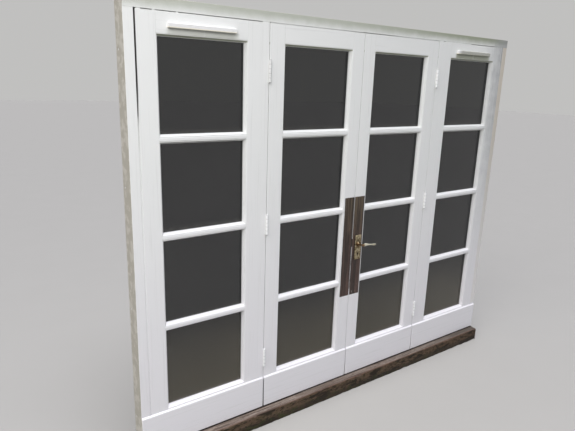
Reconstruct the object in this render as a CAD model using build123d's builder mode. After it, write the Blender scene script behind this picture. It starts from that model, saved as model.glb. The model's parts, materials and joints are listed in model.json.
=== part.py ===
"""Painted timber french doors: a frame with a pair of doors that open outwards between two side lights.

X runs along the wall to the right as seen from outside, Y runs into the house and Z up.
The origin is on the underside of the sill, half way along it and in line with the doors' outer face.
"""

from build123d import *
import os

os.makedirs("parts", exist_ok=True)

# Leaves: the doors and the side lights are made alike, in millimetres
leaf_width = 584
leaf_height = 1981
leaf_thickness = 44
outer_stile_face = 82
inner_stile_face = 76
top_rail_face = 84
bottom_rail_face = 183
bar_face = 18
bars_per_leaf = 3
timber_round = 1.5
bar_round = 4
tenon_length = 45
tenon_thickness = 12
tenon_shoulder = 14
joint_clearance = 0.3

# Glazing: panes lie in a rebate that opens outwards, behind sloping beads
glass_thickness = 4
glass_set_back = 25
glass_edge_gap = 3
bead_width = 11
bead_flat = 2.5
bead_nose = 8
bead_recess = 0.6
bead_joint = 0.1

# Gaps round the leaves
meeting_gap = 3
hinge_gap = 3
side_inner_gap = 0.3
side_outer_gap = 5
head_gap = 3
sill_gap = 5
seal_space = 3

# Frame
frame_depth = 94
stop_width = 13
jamb_face = 43
head_face = 46
mullion_face = 36.7
sill_height = 86
sill_nose = 50
sill_nose_drop = 6
sill_nose_round = 4
drip_set_back = 10
drip_width = 6
drip_depth = 5
fixing_radius = 5.5
fixing_head_radius = 10
fixing_head_depth = 12
fixing_spacing = 560
fixings_per_jamb = 4

# Kickboards
board_thickness = 8
board_height = 173
board_slope = 7
board_seam = 1.5

# Butt hinges, with the pin in front of the boards
hinge_length = 102
hinge_top_margin = 160
hinge_foot_margin = 245
knuckle_radius = 6
knuckle_count = 5
knuckle_joint = 0.4
pin_radius = 3
pin_clearance = 0.05
pin_head_radius = 4.6
pin_head_height = 2.5
flap_thickness = 2
flap_gap = 1
flap_depth = 32
flap_shy = 0.6
screw_count = 4
axis_proud = 8.5

# Screws
screw_radius = 1.9
screw_head_radius = 3.8
screw_head_height = 1.9
screw_clearance = 0.1
hinge_screw_length = 30
plate_screw_length = 18

# Lock, lever and backplates
lock_backset = 43
spindle_height = 833
key_drop = 57
plate_width = 45
plate_height = 146
plate_thickness = 5
plate_round = 5
plate_edge = 1.5
plate_below_spindle = 93
plate_screw_margin = 9
hub_radius = 11
hub_height = 14
neck_radius = 5.5
lever_stand_off = 46
lever_reach = 102
lever_thickness = 9
lever_heel = 2.5
lever_blade_width = 18
lever_waist_width = 8.5
lever_knob_width = 12.5
lever_rise = 4
lever_droop = 6
turning_clearance = 0.3
spindle_width = 8
spindle_fit = 0.1
spindle_hole_radius = 8
case_hole_radius = 6.5
keyhole_radius = 4.2
keyhole_slot = 5
keyhole_length = 14
case_depth = 58
case_thickness = 14
case_height = 100
case_wall = 1.2
case_below_key = 21
forend_length = 150
forend_width = 22
forend_thickness = 2.5
forend_below_key = 47
forend_screw_margin = 9
latch_height = 14
latch_out = 2
latch_length = 27
latch_bevel = 6
dead_height = 24
dead_length = 36
dead_set_back = 0.3
bolt_pocket_depth = 16
bolt_play = 0.6

# Surface bolts inside the left-hand door
bolt_radius = 5
bolt_length = 165
bolt_stand_off = 10
bolt_travel = 20
bolt_end_gap = 5
bracket_width = 25
bracket_length = 140
bracket_plate = 2
bracket_end_gap = 10
staple_height = 16
staple_wall = 3
staple_margin = 14
knob_radius = 4
knob_length = 16
knob_place = 0.5
keep_thickness = 2
keep_length = 26
keep_depth = 15
bolt_hole_clearance = 0.6

# Bare timber let into the meeting stiles
patch_low = 522
patch_height = 593
patch_depth = 10
patch_seam_margin = 1.5
patch_arris_margin = 4

# Trickle vents over the side lights
vent_length = 312
vent_height = 23
vent_low = 1920
vent_shift = 8
canopy_depth = 18
canopy_fall = 5
vent_wall = 2
vent_slot_height = 11
vent_slot_length = 270
vent_body_depth = 13
ear_width = 4
ear_depth = 6
flap_board = 2
flap_pin_radius = 1.5
flap_end_gap = 0.5

# Draught and bedding strips
strip_width = 8
strip_end_gap = 0.5

# Places worked out from the sizes above
leaf_low = sill_height + sill_gap
leaf_top = leaf_low + leaf_height
head_low = leaf_top + head_gap
frame_top = head_low + head_face
rebate_depth = leaf_thickness + seal_space
stop_low = sill_height + stop_width
stop_top = head_low - stop_width

door_inner = meeting_gap / 2
door_outer = door_inner + leaf_width
hinge_axis = door_outer + hinge_gap / 2
mullion_inner = door_outer + hinge_gap
mullion_outer = mullion_inner + mullion_face
side_inner = mullion_outer + side_inner_gap
side_outer = side_inner + leaf_width
jamb_inner = side_outer + side_outer_gap
frame_half = jamb_inner + jamb_face

opening_low = leaf_low + bottom_rail_face
opening_top = leaf_top - top_rail_face
opening_width = leaf_width - inner_stile_face - outer_stile_face
glass_back = glass_set_back + glass_thickness
pane_count = bars_per_leaf + 1
pane_height = (opening_top - opening_low - bars_per_leaf * bar_face) / pane_count
pane_pitch = pane_height + bar_face

hinge_top = leaf_top - hinge_top_margin - hinge_length / 2
hinge_foot = leaf_low + hinge_foot_margin + hinge_length / 2
hinge_places = (hinge_foot, (hinge_foot + hinge_top) / 2, hinge_top)

spindle_z = leaf_low + spindle_height
key_z = spindle_z - key_drop
spindle_x = door_inner + lock_backset
plate_low = spindle_z - plate_below_spindle
case_middle = leaf_thickness / 2
case_low = key_z - case_below_key
forend_low = key_z - forend_below_key
forend_screws = (forend_low + forend_screw_margin, forend_low + forend_length - forend_screw_margin)
plate_screws = (plate_low + plate_screw_margin, plate_low + plate_height - plate_screw_margin)

bolt_x = door_inner + inner_stile_face / 2
bolt_y = leaf_thickness + bolt_stand_off
stile_patch_low = leaf_low + patch_low
vent_z = leaf_low + vent_low
side_opening_middle = side_inner + inner_stile_face + opening_width / 2


def keep(piece, name):
    """Label a finished piece and write it."""
    piece.part.label = name
    export_step(piece.part, f"parts/{name}.step")


def span(side, near, far):
    """The limits along X of a stretch that is given for the right-hand side."""
    return sorted((side * near, side * far))


def middle(limits):
    return (limits[0] + limits[1]) / 2


def block(x, y, z, mode=Mode.ADD):
    """A plain box between limits along the three axes."""
    with Locations((middle(x), middle(y), middle(z))):
        Box(x[1] - x[0], y[1] - y[0], z[1] - z[0], mode=mode)


def upright(x, y, z, rounding, square=0):
    """A vertical timber with rounded front arrises, except one at a given X, which meets its neighbour."""
    with BuildSketch(Plane.XY.offset(z[0])) as section:
        with Locations((middle(x), middle(y))):
            Rectangle(x[1] - x[0], y[1] - y[0])
        front = section.vertices().group_by(Axis.Y)[0]
        fillet(front.filter_by(lambda vertex: abs(vertex.X - square) > joint_clearance / 2), radius=rounding)
    extrude(section.sketch, amount=z[1] - z[0])


def crosspiece(x, y, z, rounding):
    """A horizontal timber whose two front arrises are rounded."""
    with BuildSketch(Plane.YZ.offset(x[0])) as section:
        with Locations((middle(y), middle(z))):
            Rectangle(y[1] - y[0], z[1] - z[0])
        fillet(section.vertices().group_by(Axis.X)[0], radius=rounding)
    extrude(section.sketch, amount=x[1] - x[0])


def rod(radius, place, direction, length, mode=Mode.ADD):
    """A round bar or hole that starts at a point and runs along a direction."""
    with BuildSketch(Plane(origin=place, z_dir=direction)) as section:
        Circle(radius)
    extrude(section.sketch, amount=length, mode=mode)


def screw(place, direction, length, clearance=0, mode=Mode.ADD):
    """A countersunk screw, or its hole, from the middle of its head along its shank."""
    with BuildSketch(Plane(origin=place, z_dir=direction)) as top:
        Circle(screw_head_radius + clearance)
    with BuildSketch(Plane(origin=place, z_dir=direction).offset(screw_head_height)) as neck:
        Circle(screw_radius + clearance)
    loft([top.sketch, neck.sketch], mode=mode)
    rod(screw_radius + clearance, place, direction, length + clearance, mode)


def hinge_screws(side, toward, clearance=0, mode=Mode.ADD):
    """The screws through one side of a pillar of hinges: toward is -1 into the door, 1 into the frame."""
    head = side * (hinge_axis + toward * flap_gap / 2)
    for height in hinge_places:
        for number in range(screw_count):
            z = height + hinge_length * ((number + 0.5) / screw_count - 0.5)
            y = flap_depth * (0.35 if number % 2 else 0.7)
            screw((head, y, z), (side * toward, 0, 0), hinge_screw_length, clearance, mode)


def flap_recess(side, toward):
    """The shallow housings in a timber's edge that the hinge flaps lie in."""
    edge = hinge_axis + toward * (flap_gap / 2 + flap_thickness)
    for height in hinge_places:
        block(
            span(side, hinge_axis, edge),
            (0, flap_depth),
            (height - hinge_length / 2, height + hinge_length / 2),
            Mode.SUBTRACT,
        )


def tenons(x, z_low, z_high, grow=0):
    """The tenons on both ends of a rail, or the mortises for them."""
    y = (leaf_thickness - tenon_thickness) / 2
    block(
        (x[0] - tenon_length - grow, x[1] + tenon_length + grow),
        (y - grow, y + tenon_thickness + grow),
        (z_low + tenon_shoulder - grow, z_high - tenon_shoulder + grow),
        Mode.SUBTRACT if grow else Mode.ADD,
    )


def leaf_stile(side, inner, is_outer):
    """One stile, with the lip that the panes rest against and the mortises for both rails."""
    arris_in = inner + inner_stile_face
    arris_out = arris_in + opening_width
    edges = (arris_out, inner + leaf_width) if is_outer else (inner, arris_in)
    lip = (arris_out - bead_width, arris_out) if is_outer else (arris_in, arris_in + bead_width)
    square = side * side_inner
    upright(span(side, *edges), (0, leaf_thickness), (leaf_low, leaf_top), timber_round, square)
    block(
        span(side, *lip),
        (glass_back, leaf_thickness),
        (opening_low + bead_width, opening_top - bead_width),
    )
    opening = span(side, arris_in, arris_out)
    tenons(opening, opening_top, leaf_top, joint_clearance)
    tenons(opening, leaf_low, opening_low, joint_clearance)


def leaf_rail(side, inner, is_top):
    """One rail, with its lip and tenons."""
    arris = inner + inner_stile_face
    x = span(side, arris, arris + opening_width)
    z = (opening_top, leaf_top) if is_top else (leaf_low, opening_low)
    lip = (opening_top - bead_width, opening_top) if is_top else (opening_low, opening_low + bead_width)
    crosspiece(x, (0, leaf_thickness), z, timber_round)
    block(x, (glass_back, leaf_thickness), lip)
    tenons(x, *z)


def leaf_bars(side, inner):
    """The horizontal glazing bars: a nib between the panes and a wider lip behind them."""
    arris = inner + inner_stile_face
    for number in range(bars_per_leaf):
        low = opening_low + pane_height + number * pane_pitch
        crosspiece(
            span(side, arris, arris + opening_width),
            (0, glass_back),
            (low, low + bar_face),
            bar_round,
        )
        block(
            span(side, arris + bead_width, arris + opening_width - bead_width),
            (glass_back, leaf_thickness),
            (low - bead_width, low + bar_face + bead_width),
        )


def leaf_panes(side, inner):
    arris = inner + inner_stile_face
    for number in range(pane_count):
        low = opening_low + number * pane_pitch
        block(
            span(side, arris + glass_edge_gap, arris + opening_width - glass_edge_gap),
            (glass_set_back, glass_back),
            (low + glass_edge_gap, low + pane_height - glass_edge_gap),
        )


def bead_section():
    """A bead's section, across its width and into the rebate."""
    Polygon(
        (0, bead_recess),
        (bead_flat, bead_recess),
        (bead_width, glass_set_back - bead_nose),
        (bead_width, glass_set_back),
        (0, glass_set_back),
        align=None,
    )


def mitre(length):
    """A bead's outline seen from the front, with its ends cut at 45 degrees."""
    half = length / 2 - bead_joint
    Polygon(
        (-half, 0),
        (half, 0),
        (half - bead_width, bead_width),
        (-half + bead_width, bead_width),
        align=None,
    )


def bead(length):
    """A bead that lies along X on a sill at Z = 0, centred on X = 0."""
    front = Plane(origin=(0, 0, 0), x_dir=(1, 0, 0), z_dir=(0, -1, 0))
    section = Plane(origin=(-length / 2, 0, 0), x_dir=(0, 0, 1), z_dir=(-1, 0, 0))
    with BuildPart() as stick:
        with BuildSketch(section):
            bead_section()
        extrude(amount=-length)
        with BuildSketch(front):
            mitre(length)
        extrude(amount=-glass_set_back, mode=Mode.INTERSECT)
    return stick.part


long_bead = bead(opening_width)
short_bead = bead(pane_height)


def leaf_beads(side, inner):
    """Four mitred beads round each pane."""
    centre = side * (inner + inner_stile_face + opening_width / 2)
    for number in range(pane_count):
        low = opening_low + number * pane_pitch
        high = low + pane_height
        with Locations(
            Location((centre, 0, low)),
            Location((centre, 0, high), (0, 180, 0)),
        ):
            add(long_bead)
        with Locations(
            Location((centre - opening_width / 2, 0, middle((low, high))), (0, 90, 0)),
            Location((centre + opening_width / 2, 0, middle((low, high))), (0, -90, 0)),
        ):
            add(short_bead)


def kickboard(x):
    """A board nailed over the foot of a leaf, with a sloped top edge that sheds water."""
    with BuildSketch(Plane.YZ.offset(x[0])) as section:
        Polygon(
            (-board_thickness, leaf_low),
            (0, leaf_low),
            (0, leaf_low + board_height + board_slope),
            (-board_thickness, leaf_low + board_height),
            align=None,
        )
    extrude(section.sketch, amount=x[1] - x[0])


def keyhole(place, direction, depth):
    """A keyhole cut from a point along Y: a round top with a slot below it."""
    rod(keyhole_radius, place, direction, depth, Mode.SUBTRACT)
    x, y, z = place
    block(
        (x - keyhole_slot / 2, x + keyhole_slot / 2),
        sorted((y, y + direction[1] * depth)),
        (z - keyhole_length, z),
        Mode.SUBTRACT,
    )


# The frame
with BuildPart() as head:
    crosspiece((-frame_half, frame_half), (0, rebate_depth), (head_low, frame_top), timber_round)
    block((-frame_half, frame_half), (rebate_depth, frame_depth), (stop_top, frame_top))
    rod(
        bolt_radius + bolt_hole_clearance,
        (-bolt_x, bolt_y, stop_top),
        (0, 0, 1),
        bolt_travel + keep_thickness,
        Mode.SUBTRACT,
    )
    block(
        span(-1, bolt_x - keep_length / 2, bolt_x + keep_length / 2),
        (bolt_y - keep_depth / 2, bolt_y + keep_depth / 2),
        (stop_top, stop_top + keep_thickness),
        Mode.SUBTRACT,
    )
keep(head, "head")

with BuildPart() as sill:
    with BuildSketch(Plane.YZ.offset(-frame_half)) as section:
        Polygon(
            (-sill_nose, 0),
            (frame_depth, 0),
            (frame_depth, stop_low),
            (rebate_depth, stop_low),
            (rebate_depth, sill_height),
            (0, sill_height),
            (-sill_nose, sill_height - sill_nose_drop),
            align=None,
        )
        nose = section.vertices().group_by(Axis.X)[0].sort_by(Axis.Y)[-1]
        fillet(nose, radius=sill_nose_round)
        with Locations((-sill_nose + drip_set_back, 0)):
            Rectangle(drip_width, 2 * drip_depth, mode=Mode.SUBTRACT)
    extrude(amount=2 * frame_half)
    rod(
        bolt_radius + bolt_hole_clearance,
        (-bolt_x, bolt_y, stop_low),
        (0, 0, -1),
        bolt_travel + keep_thickness,
        Mode.SUBTRACT,
    )
    block(
        span(-1, bolt_x - keep_length / 2, bolt_x + keep_length / 2),
        (bolt_y - keep_depth / 2, bolt_y + keep_depth / 2),
        (stop_low - keep_thickness, stop_low),
        Mode.SUBTRACT,
    )
keep(sill, "sill")

fixing_y = (rebate_depth + frame_depth) / 2
fixing_middle = (stop_low + stop_top) / 2
for side, place in ((-1, "left"), (1, "right")):
    with BuildPart() as jamb:
        upright(
            span(side, jamb_inner, frame_half),
            (0, rebate_depth),
            (sill_height, head_low),
            timber_round,
        )
        block(
            span(side, jamb_inner - stop_width, frame_half),
            (rebate_depth, frame_depth),
            (stop_low, stop_top),
        )
        for number in range(fixings_per_jamb):
            height = fixing_middle + (number - (fixings_per_jamb - 1) / 2) * fixing_spacing
            inside = (side * (jamb_inner - stop_width), fixing_y, height)
            rod(fixing_radius, inside, (side, 0, 0), jamb_face + stop_width, Mode.SUBTRACT)
            rod(fixing_head_radius, inside, (side, 0, 0), fixing_head_depth, Mode.SUBTRACT)
    keep(jamb, f"jamb_{place}")

    with BuildPart() as mullion:
        upright(
            span(side, mullion_inner, mullion_outer),
            (0, rebate_depth),
            (sill_height, head_low),
            timber_round,
            side * mullion_outer,
        )
        block(
            span(side, mullion_inner - stop_width, mullion_outer + stop_width),
            (rebate_depth, frame_depth),
            (stop_low, stop_top),
        )
        flap_recess(side, 1)
        hinge_screws(side, 1, screw_clearance, Mode.SUBTRACT)
    keep(mullion, f"mullion_{place}")

with BuildPart() as seals:
    strip_in = (stop_width - strip_width) / 2
    stop_bays = (
        (-jamb_inner, -mullion_outer, 0),
        (-mullion_inner, mullion_inner, joint_clearance),
        (mullion_outer, jamb_inner, 0),
    )
    for low, high, shy in stop_bays:
        y = (leaf_thickness + shy, rebate_depth)
        inner_low = low + stop_width - strip_in
        inner_high = high - stop_width + strip_in
        z = (stop_low - strip_in, stop_top + strip_in)
        block((inner_low - strip_width, inner_low), y, z)
        block((inner_high, inner_high + strip_width), y, z)
        x = (inner_low + strip_end_gap, inner_high - strip_end_gap)
        block(x, y, (z[0] - strip_width, z[0]))
        block(x, y, (z[1], z[1] + strip_width))
keep(seals, "seals")


# The side lights, and the boards over their feet
vent_middle = {-1: -side_opening_middle - vent_shift, 1: side_opening_middle - vent_shift}
for side, place in ((-1, "left"), (1, "right")):
    with BuildPart() as stiles:
        leaf_stile(side, side_inner, False)
        leaf_stile(side, side_inner, True)
    keep(stiles, f"side_{place}_stiles")

    with BuildPart() as rails:
        leaf_rail(side, side_inner, True)
        leaf_rail(side, side_inner, False)
        block(
            (vent_middle[side] - vent_slot_length / 2, vent_middle[side] + vent_slot_length / 2),
            (0, leaf_thickness),
            (vent_z + (vent_height - vent_slot_height) / 2, vent_z + (vent_height + vent_slot_height) / 2),
            Mode.SUBTRACT,
        )
    keep(rails, f"side_{place}_rails")

    with BuildPart() as bars:
        leaf_bars(side, side_inner)
    keep(bars, f"side_{place}_bars")

    with BuildPart() as panes:
        leaf_panes(side, side_inner)
    keep(panes, f"side_{place}_panes")

    with BuildPart() as beads:
        leaf_beads(side, side_inner)
    keep(beads, f"side_{place}_beads")

    with BuildPart() as side_board:
        kickboard(span(side, mullion_inner + board_seam, frame_half))
    keep(side_board, f"side_{place}_kickboard")


# The trickle vents
with BuildPart() as canopies:
    for side in (-1, 1):
        start = vent_middle[side] - vent_length / 2
        with BuildSketch(Plane.YZ.offset(start)):
            Polygon(
                (0, vent_z),
                (0, vent_z + vent_height),
                (-canopy_depth, vent_z + vent_height - canopy_fall),
                (-canopy_depth, vent_z),
                align=None,
            )
        extrude(amount=vent_length)
        with BuildSketch(Plane.YZ.offset(start + vent_wall)):
            Polygon(
                (0, vent_z),
                (0, vent_z + vent_height - vent_wall),
                (-canopy_depth + vent_wall, vent_z + vent_height - canopy_fall - vent_wall),
                (-canopy_depth + vent_wall, vent_z),
                align=None,
            )
        extrude(amount=vent_length - 2 * vent_wall, mode=Mode.SUBTRACT)
keep(canopies, "vent_canopies")

body_front = leaf_thickness + vent_body_depth
flap_pivot_y = body_front + ear_depth / 2
flap_pivot_z = vent_z + ear_depth / 2
with BuildPart() as vent_bodies:
    for side in (-1, 1):
        x = (vent_middle[side] - vent_length / 2, vent_middle[side] + vent_length / 2)
        z = (vent_z, vent_z + vent_height)
        block(x, (leaf_thickness, body_front), z)
        block(
            (x[0] + vent_wall, x[1] - vent_wall),
            (leaf_thickness, body_front - vent_wall),
            (z[0] + vent_wall, z[1] - vent_wall),
            Mode.SUBTRACT,
        )
        block(
            (x[0] + 2 * ear_width, x[1] - 2 * ear_width),
            (body_front - vent_wall, body_front),
            (middle(z) - vent_slot_height / 2, middle(z) + vent_slot_height / 2),
            Mode.SUBTRACT,
        )
        for ear in ((x[0], x[0] + ear_width), (x[1] - ear_width, x[1])):
            block(ear, (body_front, body_front + ear_depth), (z[0], z[0] + ear_depth))
        rod(
            flap_pin_radius + pin_clearance,
            (x[0], flap_pivot_y, flap_pivot_z),
            (1, 0, 0),
            vent_length,
            Mode.SUBTRACT,
        )
keep(vent_bodies, "vent_bodies")

for side, place in ((-1, "left"), (1, "right")):
    with BuildPart() as flap:
        start = vent_middle[side] - vent_length / 2
        rod(flap_pin_radius, (start, flap_pivot_y, flap_pivot_z), (1, 0, 0), vent_length)
        block(
            (start + ear_width + flap_end_gap, start + vent_length - ear_width - flap_end_gap),
            (flap_pivot_y - flap_board / 2, flap_pivot_y + flap_board / 2),
            (flap_pivot_z - flap_board / 2, vent_z + vent_height),
        )
    keep(flap, f"vent_flap_{place}")


# The doors
for side, place in ((-1, "left"), (1, "right")):
    with BuildPart() as hinge_stile:
        leaf_stile(side, door_inner, True)
        flap_recess(side, -1)
        hinge_screws(side, -1, screw_clearance, Mode.SUBTRACT)
    keep(hinge_stile, f"{place}_hinge_stile")

    with BuildPart() as top_rail:
        leaf_rail(side, door_inner, True)
    keep(top_rail, f"{place}_top_rail")

    with BuildPart() as bottom_rail:
        leaf_rail(side, door_inner, False)
    keep(bottom_rail, f"{place}_bottom_rail")

    with BuildPart() as bars:
        leaf_bars(side, door_inner)
    keep(bars, f"{place}_bars")

    with BuildPart() as panes:
        leaf_panes(side, door_inner)
    keep(panes, f"{place}_panes")

    with BuildPart() as beads:
        leaf_beads(side, door_inner)
    keep(beads, f"{place}_beads")

    with BuildPart() as door_board:
        kickboard(span(side, door_inner + board_seam, door_outer - board_seam))
    keep(door_board, f"{place}_kickboard")


# The hinges
def knuckles(side, height, first, toward):
    """Every second knuckle of one hinge, with the tongues that join them to their flap."""
    length = (hinge_length - (knuckle_count - 1) * knuckle_joint) / knuckle_count
    foot = height - hinge_length / 2
    near = hinge_axis + toward * flap_gap / 2
    flap = span(side, near, near + toward * flap_thickness)
    tongue_start = -axis_proud + pin_radius + 2 * flap_gap
    flap_start = -axis_proud + knuckle_radius + flap_shy
    for number in range(first, knuckle_count, 2):
        z = foot + number * (length + knuckle_joint)
        rod(knuckle_radius, (side * hinge_axis, -axis_proud, z), (0, 0, 1), length)
        block(flap, (tongue_start, flap_start), (z, z + length))
    block(flap, (flap_start, flap_depth), (foot, foot + hinge_length))
    rod(
        pin_radius + pin_clearance,
        (side * hinge_axis, -axis_proud, foot),
        (0, 0, 1),
        hinge_length,
        Mode.SUBTRACT,
    )


with BuildPart() as frame_flaps:
    for side in (-1, 1):
        for height in hinge_places:
            knuckles(side, height, 0, 1)
        hinge_screws(side, 1, screw_clearance, Mode.SUBTRACT)
keep(frame_flaps, "hinge_frame_flaps")

with BuildPart() as pins:
    for side in (-1, 1):
        for height in hinge_places:
            foot = height - hinge_length / 2
            rod(pin_radius, (side * hinge_axis, -axis_proud, foot), (0, 0, 1), hinge_length)
            rod(pin_head_radius, (side * hinge_axis, -axis_proud, foot), (0, 0, -1), pin_head_height)
            rod(
                pin_head_radius,
                (side * hinge_axis, -axis_proud, foot + hinge_length),
                (0, 0, 1),
                pin_head_height,
            )
keep(pins, "hinge_pins")

with BuildPart() as frame_screws:
    for side in (-1, 1):
        hinge_screws(side, 1)
keep(frame_screws, "frame_hinge_screws")

for side, place in ((-1, "left"), (1, "right")):
    with BuildPart() as door_flaps:
        for height in hinge_places:
            knuckles(side, height, 1, -1)
        hinge_screws(side, -1, screw_clearance, Mode.SUBTRACT)
    keep(door_flaps, f"{place}_hinge_flaps")


# The bare timber let into the meeting stiles, and what passes through it
patch_z = (stile_patch_low, stile_patch_low + patch_height)
arris = door_inner + inner_stile_face
left_patch_x = (-arris, -door_inner - patch_seam_margin)
right_patch_x = (door_inner + patch_seam_margin, arris - patch_arris_margin)
forend_y = (case_middle - forend_width / 2, case_middle + forend_width / 2)
forend_z = (forend_low, forend_low + forend_length)
case_y = (case_middle - case_thickness / 2, case_middle + case_thickness / 2)
case_z = (case_low, case_low + case_height)
case_x = (door_inner + forend_thickness, door_inner + forend_thickness + case_depth)
bolt_y_limits = (case_y[0] + case_wall + joint_clearance, case_y[1] - case_wall - joint_clearance)
latch_z = (spindle_z - latch_height / 2, spindle_z + latch_height / 2)
dead_z = (key_z - dead_height / 2, key_z + dead_height / 2)


def furniture_holes():
    """The spindle's and the key's ways through the right-hand stile, and the plates' screw holes."""
    rod(spindle_hole_radius, (spindle_x, 0, spindle_z), (0, 1, 0), leaf_thickness, Mode.SUBTRACT)
    keyhole((spindle_x, 0, key_z), (0, 1, 0), leaf_thickness)
    for z in plate_screws:
        rod(
            screw_radius + screw_clearance,
            (spindle_x, 0, z),
            (0, 1, 0),
            plate_screw_length - plate_thickness + screw_clearance,
            Mode.SUBTRACT,
        )
        rod(
            screw_radius + screw_clearance,
            (spindle_x, leaf_thickness, z),
            (0, -1, 0),
            plate_screw_length - plate_thickness + screw_clearance,
            Mode.SUBTRACT,
        )


def grown(limits, clearance):
    return limits[0] - clearance, limits[1] + clearance


with BuildPart() as right_meeting_stile:
    leaf_stile(1, door_inner, False)
    block(right_patch_x, (0, patch_depth), patch_z, Mode.SUBTRACT)
    block((door_inner, door_inner + forend_thickness), forend_y, forend_z, Mode.SUBTRACT)
    block(
        (door_inner, case_x[1] + joint_clearance),
        grown(case_y, joint_clearance),
        grown(case_z, joint_clearance),
        Mode.SUBTRACT,
    )
    furniture_holes()
    for z in forend_screws:
        screw((door_inner, case_middle, z), (1, 0, 0), plate_screw_length, screw_clearance, Mode.SUBTRACT)
keep(right_meeting_stile, "right_meeting_stile")

with BuildPart() as left_meeting_stile:
    leaf_stile(-1, door_inner, False)
    block(left_patch_x, (0, patch_depth), patch_z, Mode.SUBTRACT)
    block((-door_inner - forend_thickness, -door_inner), forend_y, forend_z, Mode.SUBTRACT)
    for z in (latch_z, dead_z):
        block(
            (-door_inner - bolt_pocket_depth, -door_inner),
            grown(bolt_y_limits, bolt_play),
            grown(z, bolt_play),
            Mode.SUBTRACT,
        )
    for z in forend_screws:
        screw((-door_inner, case_middle, z), (-1, 0, 0), plate_screw_length, screw_clearance, Mode.SUBTRACT)
keep(left_meeting_stile, "left_meeting_stile")

with BuildPart() as left_patch:
    block(left_patch_x, (0, patch_depth), patch_z)
keep(left_patch, "left_patch")

with BuildPart() as right_patch:
    block(right_patch_x, (0, patch_depth), patch_z)
    furniture_holes()
keep(right_patch, "right_patch")


# The lock
with BuildPart() as lock_case:
    block(case_x, case_y, case_z)
    block((door_inner, door_inner + forend_thickness), forend_y, forend_z)
    block(
        (case_x[0], case_x[1] - case_wall),
        (case_y[0] + case_wall, case_y[1] - case_wall),
        (case_z[0] + case_wall, case_z[1] - case_wall),
        Mode.SUBTRACT,
    )
    for z in (latch_z, dead_z):
        block(
            (door_inner, case_x[0]),
            grown(bolt_y_limits, joint_clearance),
            grown(z, joint_clearance),
            Mode.SUBTRACT,
        )
    rod(case_hole_radius, (spindle_x, case_y[0], spindle_z), (0, 1, 0), case_thickness, Mode.SUBTRACT)
    keyhole((spindle_x, case_y[0], key_z), (0, 1, 0), case_thickness)
    for z in forend_screws:
        screw((door_inner, case_middle, z), (1, 0, 0), plate_screw_length, screw_clearance, Mode.SUBTRACT)
keep(lock_case, "lock_case")

with BuildPart() as latch_bolt:
    nose = door_inner - latch_out
    with BuildSketch(Plane.XY.offset(latch_z[0])):
        Polygon(
            (nose, bolt_y_limits[0]),
            (nose + latch_length, bolt_y_limits[0]),
            (nose + latch_length, bolt_y_limits[1]),
            (nose + latch_bevel, bolt_y_limits[1]),
            (nose, bolt_y_limits[0] + latch_bevel),
            align=None,
        )
    extrude(amount=latch_height)
keep(latch_bolt, "latch_bolt")

with BuildPart() as deadbolt:
    start = door_inner + dead_set_back
    block((start, start + dead_length), bolt_y_limits, dead_z)
keep(deadbolt, "deadbolt")

with BuildPart() as lock_keep:
    block((-door_inner - forend_thickness, -door_inner), forend_y, forend_z)
    for z in (latch_z, dead_z):
        block(
            (-door_inner - forend_thickness, -door_inner),
            grown(bolt_y_limits, bolt_play),
            grown(z, bolt_play),
            Mode.SUBTRACT,
        )
    for z in forend_screws:
        screw((-door_inner, case_middle, z), (-1, 0, 0), plate_screw_length, screw_clearance, Mode.SUBTRACT)
keep(lock_keep, "lock_keep")


# The backplates, levers and spindle, outside first
faces = ((0, -1), (leaf_thickness, 1))
with BuildPart() as backplates:
    for face, out in faces:
        with BuildSketch(Plane(origin=(spindle_x, face, plate_low + plate_height / 2), z_dir=(0, out, 0))):
            RectangleRounded(plate_height, plate_width, plate_round)
        extrude(amount=plate_thickness)
    for face, out in faces:
        shown = backplates.faces().filter_by(Axis.Y).sort_by(Axis.Y)[0 if out < 0 else -1]
        chamfer(shown.edges(), length=plate_edge)
    for face, out in faces:
        rod(
            hub_radius + turning_clearance,
            (spindle_x, face, spindle_z),
            (0, out, 0),
            plate_thickness,
            Mode.SUBTRACT,
        )
        keyhole((spindle_x, face, key_z), (0, out, 0), plate_thickness)
        for z in plate_screws:
            screw(
                (spindle_x, face + out * plate_thickness, z),
                (0, -out, 0),
                plate_screw_length,
                screw_clearance,
                Mode.SUBTRACT,
            )
keep(backplates, "handle_backplates")


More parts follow.
